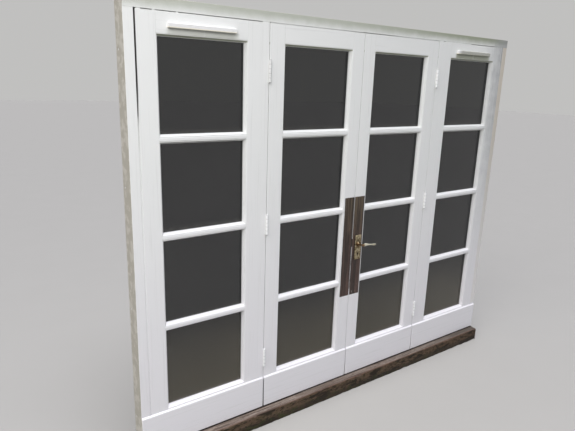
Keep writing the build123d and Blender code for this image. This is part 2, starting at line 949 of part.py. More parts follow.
def lever(face, out):
    """A lever handle: a hub in the plate, a neck, and a wavy arm that points away from the meeting stile."""
    root = face + out * turning_clearance
    arm_y = face + out * lever_stand_off
    rod(hub_radius, (spindle_x, root, spindle_z), (0, out, 0), hub_height)
    rod(neck_radius, (spindle_x, root, spindle_z), (0, out, 0), lever_stand_off - turning_clearance)
    sections = (
        (-neck_radius - lever_heel, 0, lever_waist_width, lever_thickness * 0.8),
        (0, lever_rise * 0.3, lever_blade_width * 0.8, lever_thickness + lever_heel),
        (lever_reach * 0.16, lever_rise, lever_blade_width, lever_thickness),
        (lever_reach * 0.32, lever_rise * 0.6, lever_blade_width * 0.75, lever_thickness * 0.9),
        (lever_reach * 0.52, -lever_droop * 0.1, lever_waist_width, lever_thickness * 0.85),
        (lever_reach * 0.68, -lever_droop * 0.5, lever_waist_width, lever_thickness * 0.85),
        (lever_reach * 0.86, -lever_droop * 0.9, lever_knob_width, lever_thickness),
        (lever_reach * 0.96, -lever_droop, lever_knob_width * 0.85, lever_thickness * 0.9),
        (lever_reach, -lever_droop, lever_knob_width * 0.5, lever_thickness * 0.55),
    )
    outlines = []
    for along, lift, width, depth in sections:
        with BuildSketch(Plane.YZ.offset(spindle_x + along)) as outline:
            with Locations((arm_y, spindle_z + lift)):
                Ellipse(depth / 2, width / 2)
        outlines.append(outline.sketch)
    loft(outlines)
    socket = spindle_width / 2 + spindle_fit
    block(
        (spindle_x - socket, spindle_x + socket),
        sorted((root, root + out * 2 * hub_height)),
        (spindle_z - socket, spindle_z + socket),
        Mode.SUBTRACT,
    )


for (face, out), place in zip(faces, ("outside", "inside")):
    with BuildPart() as handle:
        lever(face, out)
    keep(handle, f"lever_{place}")

with BuildPart() as spindle:
    reach = turning_clearance + 2 * hub_height - spindle_fit
    half = spindle_width / 2
    block(
        (spindle_x - half, spindle_x + half),
        (-reach, leaf_thickness + reach),
        (spindle_z - half, spindle_z + half),
    )
keep(spindle, "spindle")


# The surface bolts inside the left-hand door
bracket_x = span(-1, bolt_x - bracket_width / 2, bolt_x + bracket_width / 2)
bolt_ends = ((stop_top, 1), (stop_low, -1))
with BuildPart() as brackets:
    for end, up in bolt_ends:
        near = end - up * bracket_end_gap
        far = near - up * bracket_length
        block(bracket_x, (leaf_thickness, leaf_thickness + bracket_plate), sorted((near, far)))
        staple_half = bolt_radius + staple_wall
        for start in (near, far + up * (staple_height + 2 * staple_margin)):
            z = sorted((start, start - up * staple_height))
            block(
                (-bolt_x - staple_half, -bolt_x + staple_half),
                (leaf_thickness, bolt_y + staple_half),
                z,
            )
            rod(
                bolt_radius + turning_clearance,
                (-bolt_x, bolt_y, z[0]),
                (0, 0, 1),
                staple_height,
                Mode.SUBTRACT,
            )
keep(brackets, "bolt_brackets")

for (end, up), name in zip(bolt_ends, ("top_bolt", "foot_bolt")):
    with BuildPart() as bolt:
        tip = end - up * bolt_end_gap
        rod(bolt_radius, (-bolt_x, bolt_y, tip), (0, 0, -up), bolt_length)
        rod(
            knob_radius,
            (-bolt_x, bolt_y, tip - up * bolt_length * knob_place),
            (0, 1, 0),
            bolt_radius + knob_length,
        )
    keep(bolt, name)

with BuildPart() as bolt_keeps:
    for end, up in bolt_ends:
        block(
            span(-1, bolt_x - keep_length / 2, bolt_x + keep_length / 2),
            (bolt_y - keep_depth / 2, bolt_y + keep_depth / 2),
            sorted((end, end + up * keep_thickness)),
        )
        rod(
            bolt_radius + bolt_hole_clearance,
            (-bolt_x, bolt_y, end),
            (0, 0, up),
            keep_thickness,
            Mode.SUBTRACT,
        )
keep(bolt_keeps, "bolt_keeps")


# The screws in each door
with BuildPart() as left_screws:
    hinge_screws(-1, -1)
    for z in forend_screws:
        screw((-door_inner, case_middle, z), (-1, 0, 0), plate_screw_length)
keep(left_screws, "left_screws")

with BuildPart() as right_screws:
    hinge_screws(1, -1)
    for z in forend_screws:
        screw((door_inner, case_middle, z), (1, 0, 0), plate_screw_length)
    for face, out in faces:
        for z in plate_screws:
            screw((spindle_x, face + out * plate_thickness, z), (0, -out, 0), plate_screw_length)
keep(right_screws, "right_screws")
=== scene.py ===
import json
import math
import random

import bmesh
import bpy
from mathutils import Matrix, Vector, noise


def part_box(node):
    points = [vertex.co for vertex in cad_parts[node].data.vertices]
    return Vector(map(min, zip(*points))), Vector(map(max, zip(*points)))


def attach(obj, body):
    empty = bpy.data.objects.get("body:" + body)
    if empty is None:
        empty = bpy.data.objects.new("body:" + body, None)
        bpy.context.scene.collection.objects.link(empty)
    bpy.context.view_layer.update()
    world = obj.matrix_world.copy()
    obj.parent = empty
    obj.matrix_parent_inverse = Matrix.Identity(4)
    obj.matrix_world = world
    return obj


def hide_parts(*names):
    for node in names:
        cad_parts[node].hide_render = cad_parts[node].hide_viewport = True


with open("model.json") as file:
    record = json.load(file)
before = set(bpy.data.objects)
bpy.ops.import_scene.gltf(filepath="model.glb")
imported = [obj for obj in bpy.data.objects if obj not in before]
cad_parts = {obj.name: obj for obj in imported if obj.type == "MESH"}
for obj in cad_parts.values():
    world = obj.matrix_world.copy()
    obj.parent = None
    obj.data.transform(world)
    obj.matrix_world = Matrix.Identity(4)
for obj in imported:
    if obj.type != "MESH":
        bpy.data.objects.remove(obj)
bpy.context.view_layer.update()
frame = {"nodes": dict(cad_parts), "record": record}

MM = 0.001

# Sizes that the part gives, in millimetres
frame_half = 1257.5
frame_top = 2121
leaf_thickness = 44
plate_thickness = 5
meeting_edge = 1.5
spindle_x = 44.5
spindle_z = 924
key_z = 867
hinge_axis = 587
hinge_axis_y = -8.5
hinge_length = 102
hinge_pitch = 737
hinge_low = 387
hinge_heights = (hinge_low, hinge_low + hinge_pitch, hinge_low + 2 * hinge_pitch)
knuckle_pitch = 20.48
flap_depth = 32
screws_per_flap = 4
forend_heights = (829, 961)
plate_screw_heights = (840, 968)
plate_low = 831
plate_height = 146
plate_width = 45
pane_low = 274
pane_pitch = 433
opening_top = 1988
board_top = 270
vent_centre = 914.5
vent_half = 164
vent_low = 2011
right_vent_end = 752
patch_low = 613
patch_top = 1206
leaf_low = 91
leaf_top = 2072
sill_nose = -50
sill_nose_height = 80
jamb_gap = (1209.5, 1214.5)

# The camera: its place in metres, and how far it looks to the right and up and leans over, in degrees
camera_place = (-1.9165, -2.0613, 1.8107)
camera_turns = (35.279, -14.57, 1.803)
camera_lens = 31.91

# The light: each lamp's name, kind, power, size or spread, place, aim and tint. The floor and the sky throw
# less light on the doors than they show to the camera.
lamps = (
    ("broad_lamp", "AREA", 58, 1.6, (-2.6, -2.4, 3.1), (0, 0, 1), (1.0, 0.99, 0.97)),
    ("left_light", "SUN", 1.0, 30, (-8, -1.5, 5.8), (0, 0, 0), (1.0, 0.99, 0.97)),
    ("overhead", "SUN", 1.85, 40, (0.5, -3.0, 10), (0, 0, 0), (0.975, 0.985, 1.04)),
)
floor_thrown = (0.24, 0.238, 0.215)
floor_shown = ((0.405, 0.392, 0.37), (0.42, 0.407, 0.385))
sky_thrown = (0.94, 0.97, 1.08)
sky_all_round = 0.18
sky_overhead = 0.45
sky_shown = (0.53, 0.527, 0.52)
sky_shown_overhead = 1.4


class Reading:
    """A value inside a material. Sums that are written with it add their Math nodes."""

    def __init__(self, nodes, socket):
        self.nodes = nodes
        self.socket = socket

    def work(self, operation, *values):
        return self.nodes.node("Math", {"operation": operation}, dict(enumerate(values)))

    def __add__(self, other):
        return self.work("ADD", self, other)

    __radd__ = __add__

    def __sub__(self, other):
        return self.work("SUBTRACT", self, other)

    def __rsub__(self, other):
        return self.work("SUBTRACT", other, self)

    def __mul__(self, other):
        return self.work("MULTIPLY", self, other)

    __rmul__ = __mul__

    def __abs__(self):
        return self.work("ABSOLUTE", self)

    def __mod__(self, other):
        return self.work("FLOORED_MODULO", self, other)

    def __or__(self, other):
        """The larger of two masks."""
        return self.work("MAXIMUM", self, other)


class Nodes:
    """A node tree, with one method for any node and a few for the patterns that timber and paint need."""

    def __init__(self, tree):
        self.tree = tree

    def feed(self, socket, value):
        if isinstance(value, Reading):
            self.tree.links.new(value.socket, socket)
        else:
            socket.default_value = value

    def node(self, kind, settings=None, sockets=None, output=0):
        node = self.tree.nodes.new("ShaderNode" + kind)
        for name, value in (settings or {}).items():
            setattr(node, name, value)
        for name, value in (sockets or {}).items():
            self.feed(node.inputs[name], value)
        return Reading(self, node.outputs[output])

    def place(self, scale=(1, 1, 1)):
        here = self.node("TexCoord", output="Object")
        return self.node("Mapping", None, {"Vector": here, "Scale": scale})

    def axes(self):
        """The three coordinates of a point, in millimetres."""
        here = self.node("TexCoord", output="Object")
        large = self.node("VectorMath", {"operation": "SCALE"}, {"Vector": here, "Scale": 1 / MM})
        return [self.node("SeparateXYZ", None, {"Vector": large}, axis) for axis in "XYZ"]

    def noise(self, scale, stretch=(1, 1, 1), detail=3, roughness=0.55, distortion=0.0):
        """Cloudy values around 0.5, with about this many clouds to a metre."""
        sockets = {
            "Vector": self.place(stretch),
            "Scale": scale,
            "Detail": detail,
            "Roughness": roughness,
            "Distortion": distortion,
        }
        return self.node("TexNoise", None, sockets, "Fac")

    def rise(self, value, low, high):
        """0 where the value is under low, 1 where it is over high, and smooth between."""
        sockets = {"Value": value, "From Min": low, "From Max": high}
        return self.node("MapRange", {"interpolation_type": "SMOOTHSTEP"}, sockets)

    def within(self, value, low, high, soft=1.0):
        """1 where the value lies between two limits, with soft edges."""
        return self.rise(value, low - soft, low + soft) * (1 - self.rise(value, high - soft, high + soft))

    def blend(self, factor, first, second):
        return self.node("Mix", {"data_type": "RGBA"}, {"Factor": factor, 6: first, 7: second}, 2)

    def bump(self, height, distance, strength=1.0):
        return self.node("Bump", None, {"Height": height, "Distance": distance, "Strength": strength})

    def seen(self):
        """1 for what is seen straight, in a reflection or through a pane, and 0 for light on things."""
        straight, mirrored, through = [
            self.node("LightPath", output=f"Is {kind} Ray") for kind in ("Camera", "Glossy", "Transmission")
        ]
        return straight | mirrored | through


class Finish(Nodes):
    """One material: its constants are set on the shader's sockets, and what varies is linked by wear."""

    def __init__(self, name, constants=None):
        self.material = bpy.data.materials.new(name)
        self.material.use_nodes = True
        super().__init__(self.material.node_tree)
        self.shader = self.tree.nodes["Principled BSDF"]
        for socket, value in (constants or {}).items():
            self.shader.inputs[socket].default_value = value

    def wear(self, **sockets):
        for name, value in sockets.items():
            self.feed(self.shader.inputs[name.replace("_", " ")], value)
        return self.material


def colour(red, green, blue):
    return (red, green, blue, 1.0)


def worn_edges(paint, x, y, z):
    """Where paint is gone or grimy: on the meeting edges, round the bare timber and in the holes."""
    latch_low, latch_top = 908, 962
    ragged = paint.noise(190, (1, 1, 0.25), 5) * 14 - 7
    front = 1 - paint.rise(y + ragged * 0.6, 7, 13)
    arrises = (1 - paint.rise(abs(x), 3.2, 3.8)) * front
    latch = arrises * paint.within(z + ragged, latch_low, latch_top, 6)
    thinned = 0.30 + paint.noise(60, (1, 1, 0.3), 4) * 0.5
    above = arrises * paint.within(z, latch_top, patch_top - 4, 8) * thinned
    right_edge = paint.rise(x, 0.9, 1.3) * (1 - paint.rise(x, 3.2, 3.8)) * front
    nibbles = 0.55 + 0.45 * paint.rise(paint.noise(70, (1, 1, 0.12), 4), 0.42, 0.52)
    gnawed = right_edge * nibbles * paint.within(z + ragged, patch_low + 37, latch_low + 7, 20)
    margin = paint.within(x, 72.0, 75.8, 0.3) * paint.within(z, patch_low, patch_top, 1) * 0.85
    holes = paint.within(abs(x - spindle_x), -1, 9, 0.5) * paint.within(y, 0.4, leaf_thickness - 0.4, 0.2)
    return latch | above | gnawed | margin | holes


def white_paint(name, stretch, gone=None):
    """Brushed white gloss on timber, soiled by weather outside, bare where the frame is built in, with
    painted shade and tints of light.
    """
    paint = Finish(name, {"IOR": 1.5, "Coat Weight": 0.2, "Coat Roughness": 0.15})
    x, y, z = paint.axes()
    bristles = paint.noise(420, stretch, 3, 0.6)
    figure = paint.noise(95, stretch, 4, 0.6, 0.4)
    clouds = paint.noise(2.3)
    waves = paint.noise(14, stretch, 2)
    nibs = paint.rise(paint.noise(700, detail=1), 0.70, 0.78)
    patches = paint.noise(17, detail=5)
    # Greener towards the top and lilac lower down: a painted tint of the light falling on each part
    upper = paint.blend(clouds, colour(0.80, 0.81, 0.79), colour(0.84, 0.84, 0.83))
    lower = paint.blend(clouds, colour(0.79, 0.77, 0.80), colour(0.82, 0.80, 0.82))
    light_tinted = paint.blend(paint.rise(z, 100, 1700), lower, upper)
    outside = 1 - paint.rise(y, 12, 24)
    # Green-grey under the head, darker to the right: partly dirt, partly painted shade of the lintel over it
    film_and_lintel_shade = paint.rise(z + patches * 22, leaf_top + 2, frame_top + 5) * outside
    film_and_lintel_shade = film_and_lintel_shade * (0.62 + paint.rise(x, -400, 1250) * 0.33)
    filmed_and_shaded = paint.blend(film_and_lintel_shade, light_tinted, colour(0.27, 0.295, 0.20))
    runs = paint.rise(paint.noise(75, (1, 1, 0.03), 4), 0.40, 0.62)
    # Greyer towards the right-hand end and high up: painted shade, with dirty streaks running down it
    shaded_end = paint.rise(x + patches * 160, 1080, 1400) * paint.rise(z, 300, 1900) * outside
    end_shaded_and_streaked = paint.blend(shaded_end * (0.75 + runs * 0.2), filmed_and_shaded, colour(0.28, 0.285, 0.295))
    # Olive under the top rail and under the vent canopies: painted shade, with some green algae under the
    # canopies
    shaded_underneath = paint.within(z, opening_top - 9, opening_top + 1.5, 1) * paint.rise(y, 0, 3) * outside
    under_vents = paint.within(abs(abs(x) - vent_centre), -1, vent_half, 10) * paint.rise(x, -2200, 900)
    canopy_shade_and_algae = under_vents * paint.within(z, opening_top - 1, vent_low + 1, 2) * outside
    shaded_and_mossed = paint.blend(shaded_underneath * 0.75 | canopy_shade_and_algae * 0.7, end_shaded_and_streaked, colour(0.31, 0.33, 0.21))
    gap_inner, gap_outer = jamb_gap
    # The right jamb's face is tinted beige, lightly low down and more towards the top
    right_jamb_face = paint.rise(x, gap_outer + 1, gap_outer + 5) * paint.within(z, 280, leaf_top + 3, 4) * outside
    smears = right_jamb_face * (0.3 + paint.rise(z, 700, 1900) * 0.5)
    beige_tinted = paint.blend(smears, shaded_and_mossed, colour(0.66, 0.59, 0.49))
    foot = (1 - paint.rise(z, leaf_low + 4, leaf_low + 99)) * outside
    splashes = paint.rise(paint.noise(160, detail=4), 0.60, 0.72) * foot
    soiled = paint.blend(splashes * 0.30, beige_tinted, colour(0.42, 0.38, 0.33))
    left_joint = paint.within(x, -hinge_axis - 3.4, -hinge_axis + 3.4, 0.1)
    middle_joint = paint.within(x, -2.9, 2.9, 0.1)
    low = 1 - paint.rise(z + patches * 30, board_top - 12, board_top + 10)
    grooves = (left_joint | middle_joint) * low * (1 - paint.rise(y, 5, 9))
    # Dark joints between the boards; the open joint at the top of the left jamb is darkened with grime and
    # painted shade
    opened = paint.rise(z, 1600, 1800) * (1 - paint.rise(z, leaf_top, leaf_top + 1)) * outside
    open_joint_shade = paint.within(x, -gap_outer - 1.6, -gap_inner + 1.4, 0.5) * opened
    dark_joints_and_shade = paint.blend(grooves * 0.9 | open_joint_shade * 0.9, soiled, colour(0.045, 0.040, 0.035))
    streaked = paint.blend(paint.rise(figure, 0.54, 0.70) * 0.22, dark_joints_and_shade, colour(0.62, 0.62, 0.60))
    raw_end = paint.rise(abs(x), frame_half - 0.6, frame_half - 0.3)
    raw_side = raw_end | paint.rise(z, frame_top - 0.6, frame_top - 0.3)
    mortar = paint.rise(paint.noise(24, detail=6), 0.47, 0.60)
    primed = paint.blend(mortar * 0.8, colour(0.42, 0.39, 0.33), colour(0.56, 0.53, 0.47))
    cased = paint.blend(raw_side, streaked, primed)
    height = bristles * 0.35 + figure * 0.5 + waves * 1.2 + nibs * 0.6 + raw_side * mortar * 2
    roughness = 0.28 + clouds * 0.10 + bristles * 0.08 + raw_side * 0.45
    if gone is None:
        return paint.wear(Base_Color=cased, Roughness=roughness, Normal=paint.bump(height, 0.0005, 0.45))
    bare = gone(paint, x, y, z)
    wood = paint.blend(figure, colour(0.020, 0.015, 0.012), colour(0.075, 0.055, 0.042))
    return paint.wear(
        Base_Color=paint.blend(bare, cased, wood),
        Roughness=roughness + bare * 0.3,
        Normal=paint.bump(height - bare * 1.2, 0.0005, 0.45),
    )


def bare_timber():
    """Dark stained hardwood let into the stiles, with the white paint lapped over the left one's margin."""
    timber = Finish("bare_timber")
    x, y, z = timber.axes()
    up = (1, 1, 0.02)
    figure = timber.noise(210, up, 5, 0.65, 0.5)
    bands = timber.rise(timber.noise(75, (1, 1, 0.03), 4, 0.65, 0.8), 0.42, 0.58)
    veins = timber.rise(timber.noise(110, (1, 1, 0.015), 3, 0.6, 0.6), 0.53, 0.60)
    pores = timber.rise(timber.noise(800, (1, 1, 0.03), 2), 0.58, 0.68)
    scratches = timber.rise(timber.noise(560, (1, 1, 0.012), 2), 0.68, 0.73)
    blotches = timber.noise(9, (1, 1, 0.5), 3)
    smears = timber.rise(timber.noise(150, (1, 1, 0.3), 5), 0.60, 0.68)
    low_end = 1 - timber.rise(z, 640, 720)
    high_end = timber.rise(z + blotches * 120, 900, 1240)
    reddish = timber.blend(bands, colour(0.020, 0.011, 0.009), colour(0.090, 0.050, 0.040))
    olive = timber.blend(bands, colour(0.021, 0.015, 0.009), colour(0.102, 0.074, 0.045))
    brown = timber.blend(high_end, reddish, olive)
    veined = timber.blend(veins * 0.85, brown, colour(0.015, 0.010, 0.008))
    grained = timber.blend(timber.rise(figure, 0.52, 0.68) * 0.5, veined, colour(0.145, 0.105, 0.078))
    stained = timber.blend(timber.rise(blotches, 0.5, 0.75) * 0.45, grained, colour(0.040, 0.020, 0.018))
    pored = timber.blend(pores * 0.8, stained, colour(0.014, 0.009, 0.007))
    right_side = timber.rise(x, 0, 1)
    scratched = timber.blend(scratches * (0.10 + right_side * 0.30), pored, colour(0.34, 0.29, 0.25))
    residue = smears * (0.04 + low_end * right_side * 0.8)
    flecked = timber.blend(residue, scratched, colour(0.42, 0.38, 0.36))
    wander = timber.noise(12, (0.1, 0.1, 1), 4) * 7
    lapped = 1 - timber.rise(x - wander, -73.6, -72.9)
    ends = timber.within(z + timber.noise(90) * 3, patch_low + 2.6, patch_top - 0.2, 0.4)
    paint = lapped | (1 - ends)
    painted = timber.blend(paint, flecked, colour(0.80, 0.80, 0.80))
    height = bands * 0.6 + figure * 0.5 - pores * 0.8 - scratches * 0.3 + residue * 0.6 + paint * 1.5
    return timber.wear(
        Base_Color=painted,
        Roughness=0.46 + figure * 0.25 - paint * 0.2,
        Normal=timber.bump(height, 0.0006, 0.7),
    )


def weathered_timber():
    """The sill: grey and worn on top, dark and damp in front, with long cracks, green moss and painted
    shadow under the boards.
    """
    timber = Finish("weathered_timber", {"Specular IOR Level": 0.25})
    x, y, z = timber.axes()
    along = (0.025, 1, 1)
    figure = timber.noise(170, along, 5, 0.65, 0.5)
    bands = timber.noise(34, along, 4, 0.65, 0.7)
    blotches = timber.noise(7, (0.4, 1, 1), 5)
    scabs = timber.noise(38, (0.35, 1, 1), 5, 0.65)
    cracks = timber.rise(timber.noise(240, (0.010, 1, 1), 2), 0.62, 0.68)
    front = 1 - timber.rise(y + scabs * 6, sill_nose + 4, sill_nose + 7.5)
    damp = 1 - timber.rise(z + blotches * 34, 34, 66)
    moss = timber.rise(timber.noise(46, (0.6, 1, 1), 6), 0.48, 0.62)
    arris = timber.within(y, sill_nose + 1, sill_nose + 9, 2.5) * timber.rise(z, 72, 78)
    # Nearly black under the kickboards: painted shadow, with grime
    shaded_underneath = timber.rise(y, -9.5, -8.0)
    streaks = timber.rise(timber.noise(75, (0.05, 1, 1), 4, 0.6, 0.8), 0.52, 0.60)
    mottles = timber.rise(timber.noise(30, (0.25, 1, 1), 4, 0.6, 0.5), 0.50, 0.60)
    grimy_end = timber.rise(x + blotches * 500, 350, 1500)
    ribs = timber.rise(bands, 0.35, 0.65)
    worn = timber.blend(ribs, colour(0.10, 0.072, 0.057), colour(0.275, 0.218, 0.180))
    silvered = timber.blend(timber.rise(figure, 0.44, 0.64) * 0.65, worn, colour(0.31, 0.26, 0.225))
    streaked = timber.blend(streaks * 0.55, silvered, colour(0.060, 0.042, 0.034))
    stained = timber.blend(timber.rise(scabs, 0.54, 0.66) * 0.5, streaked, colour(0.075, 0.050, 0.038))
    grimed = timber.blend(grimy_end * 0.7, stained, colour(0.055, 0.048, 0.040))
    rubbed = timber.blend(arris * 0.7, grimed, colour(0.10, 0.050, 0.034))
    crumbs = timber.rise(timber.noise(95, (0.5, 1, 1), 4, 0.6), 0.50, 0.60)
    dappled = timber.blend(mottles * 0.25 | crumbs * 0.35, rubbed, colour(0.070, 0.052, 0.042))
    faced = timber.blend(front * 0.88, dappled, colour(0.098, 0.060, 0.035))
    pitted = timber.blend(front * (mottles * 0.92 | crumbs * 0.78), faced, colour(0.012, 0.009, 0.006))
    wet = timber.blend(front * damp * 0.75, pitted, colour(0.022, 0.017, 0.011))
    grown = moss * front * (1 - grimy_end) * (0.25 + damp * 0.45)
    green = timber.blend(grown, wet, colour(0.040, 0.044, 0.014))
    shaded_and_grimed = timber.blend(shaded_underneath * 0.9, green, colour(0.014, 0.010, 0.008))
    cracked = timber.blend(cracks * 0.85, shaded_and_grimed, colour(0.014, 0.010, 0.008))
    height = bands * 0.8 + figure * 0.6 - cracks * 1.5 + moss * front * 0.8 - scabs * 0.5
    return timber.wear(
        Base_Color=cracked,
        Roughness=0.66 + figure * 0.25 - front * damp * 0.15,
        Normal=timber.bump(height, 0.0012, 0.8),
    )


def window_glass():
    """Glossy panes that let a little light through, dark with painted shade of the room behind, with dust
    along the foot of each.
    """
    glass = Finish("window_glass", {"IOR": 1.45, "Alpha": 0.75, "Specular IOR Level": 0.4})
    x, y, z = glass.axes()
    up = (z - pane_low) % pane_pitch
    dust = (1 - glass.rise(up + glass.noise(30) * 20, 12, 45)) * glass.noise(260, detail=4)
    streaks = glass.rise(glass.noise(60, (1, 1, 0.12), 3), 0.56, 0.80)
    ripples = glass.noise(4.5, (1, 1, 0.6), 1)
    # Dark, and browner lower down: painted shade of the room behind the panes, and painted light of its
    # floor
    low = 1 - glass.rise(z + glass.noise(3) * 260, 420, 900)
    painted_room_tone = glass.blend(low, colour(0.0060, 0.0065, 0.0065), colour(0.075, 0.066, 0.046))
    hazed = glass.blend(dust * 0.3 + streaks * 0.03, painted_room_tone, colour(0.28, 0.27, 0.23))
    return glass.wear(
        Base_Color=hazed,
        Roughness=0.03 + streaks * 0.05 + dust * 0.25,
        Normal=glass.bump(ripples, 0.004, 0.25),
    )


def painted_metal():
    """Hinges painted with the doors, with dark joints between the knuckles and dark lower ends; the upper
    left one is greyer.
    """
    metal = Finish("painted_metal", {"Coat Weight": 0.2, "Coat Roughness": 0.15})
    x, y, z = metal.axes()
    lumps = metal.noise(180, detail=3)
    clouds = metal.noise(25)
    chips = metal.rise(metal.noise(330, (1, 1, 1.6), 4), 0.66, 0.70)
    along = (z - (hinge_low - hinge_length / 2)) % hinge_pitch
    joints = metal.rise(abs(along % knuckle_pitch - knuckle_pitch / 2), 8.9, 9.9)
    # The lower pin buttons are dark
    foot = metal.rise(along, hinge_pitch - 4, hinge_pitch - 2.6)
    # The upper left hinge is greyer than the others
    dull = metal.blend(clouds, colour(0.68, 0.68, 0.67), colour(0.76, 0.76, 0.75))
    whiter_hinges = metal.rise(x, -500, 500) | (1 - metal.rise(z, 1500, 1700))
    paint = metal.blend(whiter_hinges, dull, colour(0.86, 0.86, 0.86))
    chipped = metal.blend(chips, paint, colour(0.16, 0.13, 0.11))
    jointed = metal.blend(joints * lumps, chipped, colour(0.10, 0.09, 0.08))
    dark_footed = metal.blend(foot * 0.95, jointed, colour(0.045, 0.035, 0.028))
    return metal.wear(
        Base_Color=dark_footed,
        Metallic=chips * 0.7,
        Roughness=0.28 + clouds * 0.14 + chips * 0.15 + foot * 0.4,
        Normal=metal.bump(lumps * 0.8 - chips, 0.0004, 0.5),
    )


def satin_steel():
    """Lock and bolt parts: brushed along their length, with smudges and a few dull spots."""
    steel = Finish("satin_steel", {"Metallic": 1.0})
    brushed = steel.noise(650, (1, 1, 0.03), 3)
    smudges = steel.noise(45, detail=4)
    spots = steel.rise(steel.noise(240, detail=5), 0.64, 0.74)
    bright = steel.blend(smudges, colour(0.46, 0.46, 0.45), colour(0.62, 0.62, 0.61))
    spotted = steel.blend(spots * 0.6, bright, colour(0.24, 0.19, 0.15))
    return steel.wear(
        Base_Color=spotted,
        Roughness=0.28 + smudges * 0.16 + spots * 0.25,
        Normal=steel.bump(brushed - spots * 0.6, 0.0002, 0.35),
    )


def worn_brass(name, handled):
    """Old brass: pale where hands rub it and paler still on top, a painted highlight; brown and almost black
    in patches elsewhere.
    """
    brass = Finish(name, {"Metallic": 1.0})
    x, y, z = brass.axes()
    # Pale where hands rub the lever, and paler on its top half: a painted highlight
    rubbed = brass.rise(x, 49, 60) * (0.30 + 0.55 * brass.rise(z, spindle_z - 5, spindle_z + 2)) * handled
    tarnish = brass.noise(95, detail=5, roughness=0.62)
    flecks = brass.rise(brass.noise(420, detail=4), 0.56, 0.70)
    scuffs = brass.noise(900, (0.08, 1, 1), 2)
    base = brass.blend(brass.rise(tarnish, 0.38, 0.62), colour(0.50, 0.43, 0.29), colour(0.19, 0.145, 0.08))
    flecked = brass.blend(flecks * 0.7, base, colour(0.10, 0.060, 0.028))
    # Darker round the hub and along the plate's foot where tarnish shows: painted shade with tarnish
    by_hub = 1 - brass.rise(abs(x - spindle_x) + abs(z - spindle_z), 13, 32)
    by_foot = 1 - brass.rise(z + tarnish * 14, plate_low + 4, plate_low + 17)
    across_key = abs(x - spindle_x) * 1.7 + abs(z - key_z + 2)
    by_key = 1 - brass.rise(across_key + tarnish * 8, 12, 19)
    dark = (by_hub | by_foot) * (1 - rubbed) * brass.rise(tarnish, 0.30, 0.55)
    brown = brass.blend(dark, flecked, colour(0.11, 0.060, 0.026))
    fingered = brass.blend(by_key * 0.9, brown, colour(0.030, 0.014, 0.008))
    pale = brass.blend(rubbed, fingered, colour(0.92, 0.89, 0.76))
    return brass.wear(
        Base_Color=pale,
        Roughness=0.20 + tarnish * 0.30 + flecks * 0.15,
        Normal=brass.bump(scuffs * 0.4 + tarnish * 0.5 - flecks * 0.5, 0.0002, 0.5),
    )


def vent_plastic():
    """White moulded plastic with a fine grain, painted olive shade underneath, a little dirt and a duller
    right-hand canopy.
    """
    plastic = Finish("vent_plastic")
    x, y, z = plastic.axes()
    grain = plastic.noise(1400, detail=2)
    clouds = plastic.noise(14)
    dirt = plastic.rise(plastic.noise(120, (0.3, 1, 1), 4), 0.52, 0.72)
    # Olive on the underside: painted shade
    underneath = 1 - plastic.rise(z, vent_low - 0.5, vent_low + 1.5)
    lip = 1 - plastic.rise(z, vent_low + 2, vent_low + 7)
    white = plastic.blend(clouds, colour(0.78, 0.775, 0.77), colour(0.82, 0.815, 0.81))
    yellowed = plastic.blend(lip * 0.8, white, colour(0.82, 0.77, 0.63))
    right_vent = plastic.rise(x, right_vent_end, right_vent_end + 38)
    dulled = plastic.blend(right_vent * (0.82 + dirt * 0.15), yellowed, colour(0.36, 0.36, 0.31))
    dirtied_and_shaded = plastic.blend(dirt * 0.12 + underneath * 0.85, dulled, colour(0.29, 0.30, 0.20))
    return plastic.wear(
        Base_Color=dirtied_and_shaded,
        Roughness=0.38 + clouds * 0.12 + dirt * 0.15,
        Normal=plastic.bump(grain, 0.0002, 0.3),
    )


def seal_rubber():
    """Black draught strip, dulled by dust."""
    rubber = Finish("seal_rubber")
    grain = rubber.noise(900, detail=3)
    dust = rubber.rise(rubber.noise(70, detail=4), 0.45, 0.75)
    black = rubber.blend(dust * 0.4, colour(0.022, 0.022, 0.023), colour(0.12, 0.115, 0.105))
    return rubber.wear(Base_Color=black, Roughness=0.55 + dust * 0.3, Normal=rubber.bump(grain, 0.0003, 0.5))


upright_paint = white_paint("upright_paint", (1, 1, 0.03), worn_edges)
level_paint = white_paint("level_paint", (0.03, 1, 1))
bead_paint = white_paint("bead_paint", (0.3, 1, 0.3))
steel = satin_steel()
plate_brass = worn_brass("plate_brass", 0.0)
lever_brass = worn_brass("lever_brass", 1.0)
hinge_paint = painted_metal()
old_timber = bare_timber()
sill_timber = weathered_timber()
plastic = vent_plastic()

# Which finish each node takes, by its name or by its name's last word
finish_of = {
    "head": level_paint,
    "sill": sill_timber,
    "jamb_left": upright_paint,
    "jamb_right": upright_paint,
    "mullion_left": upright_paint,
    "mullion_right": upright_paint,
    "seals": seal_rubber(),
    "vent_canopies": plastic,
    "vent_bodies": plastic,
    "vent_flap_left": plastic,
    "vent_flap_right": plastic,
    "handle_backplates": plate_brass,
    "lever_outside": lever_brass,
    "lever_inside": lever_brass,
    "stiles": upright_paint,
    "stile": upright_paint,
    "rails": level_paint,
    "rail": level_paint,
    "bars": level_paint,
    "beads": bead_paint,
    "kickboard": level_paint,
    "panes": window_glass(),
    "patch": old_timber,
    "flaps": hinge_paint,
    "pins": hinge_paint,
}
for name, item in frame["nodes"].items():
    finish = finish_of.get(name) or finish_of.get(name.split("_")[-1], steel)
    for slot in item.material_slots:
        slot.material = finish
record_slot = {row["node"]: row["material_slot"] for row in frame["record"]["subparts"]}


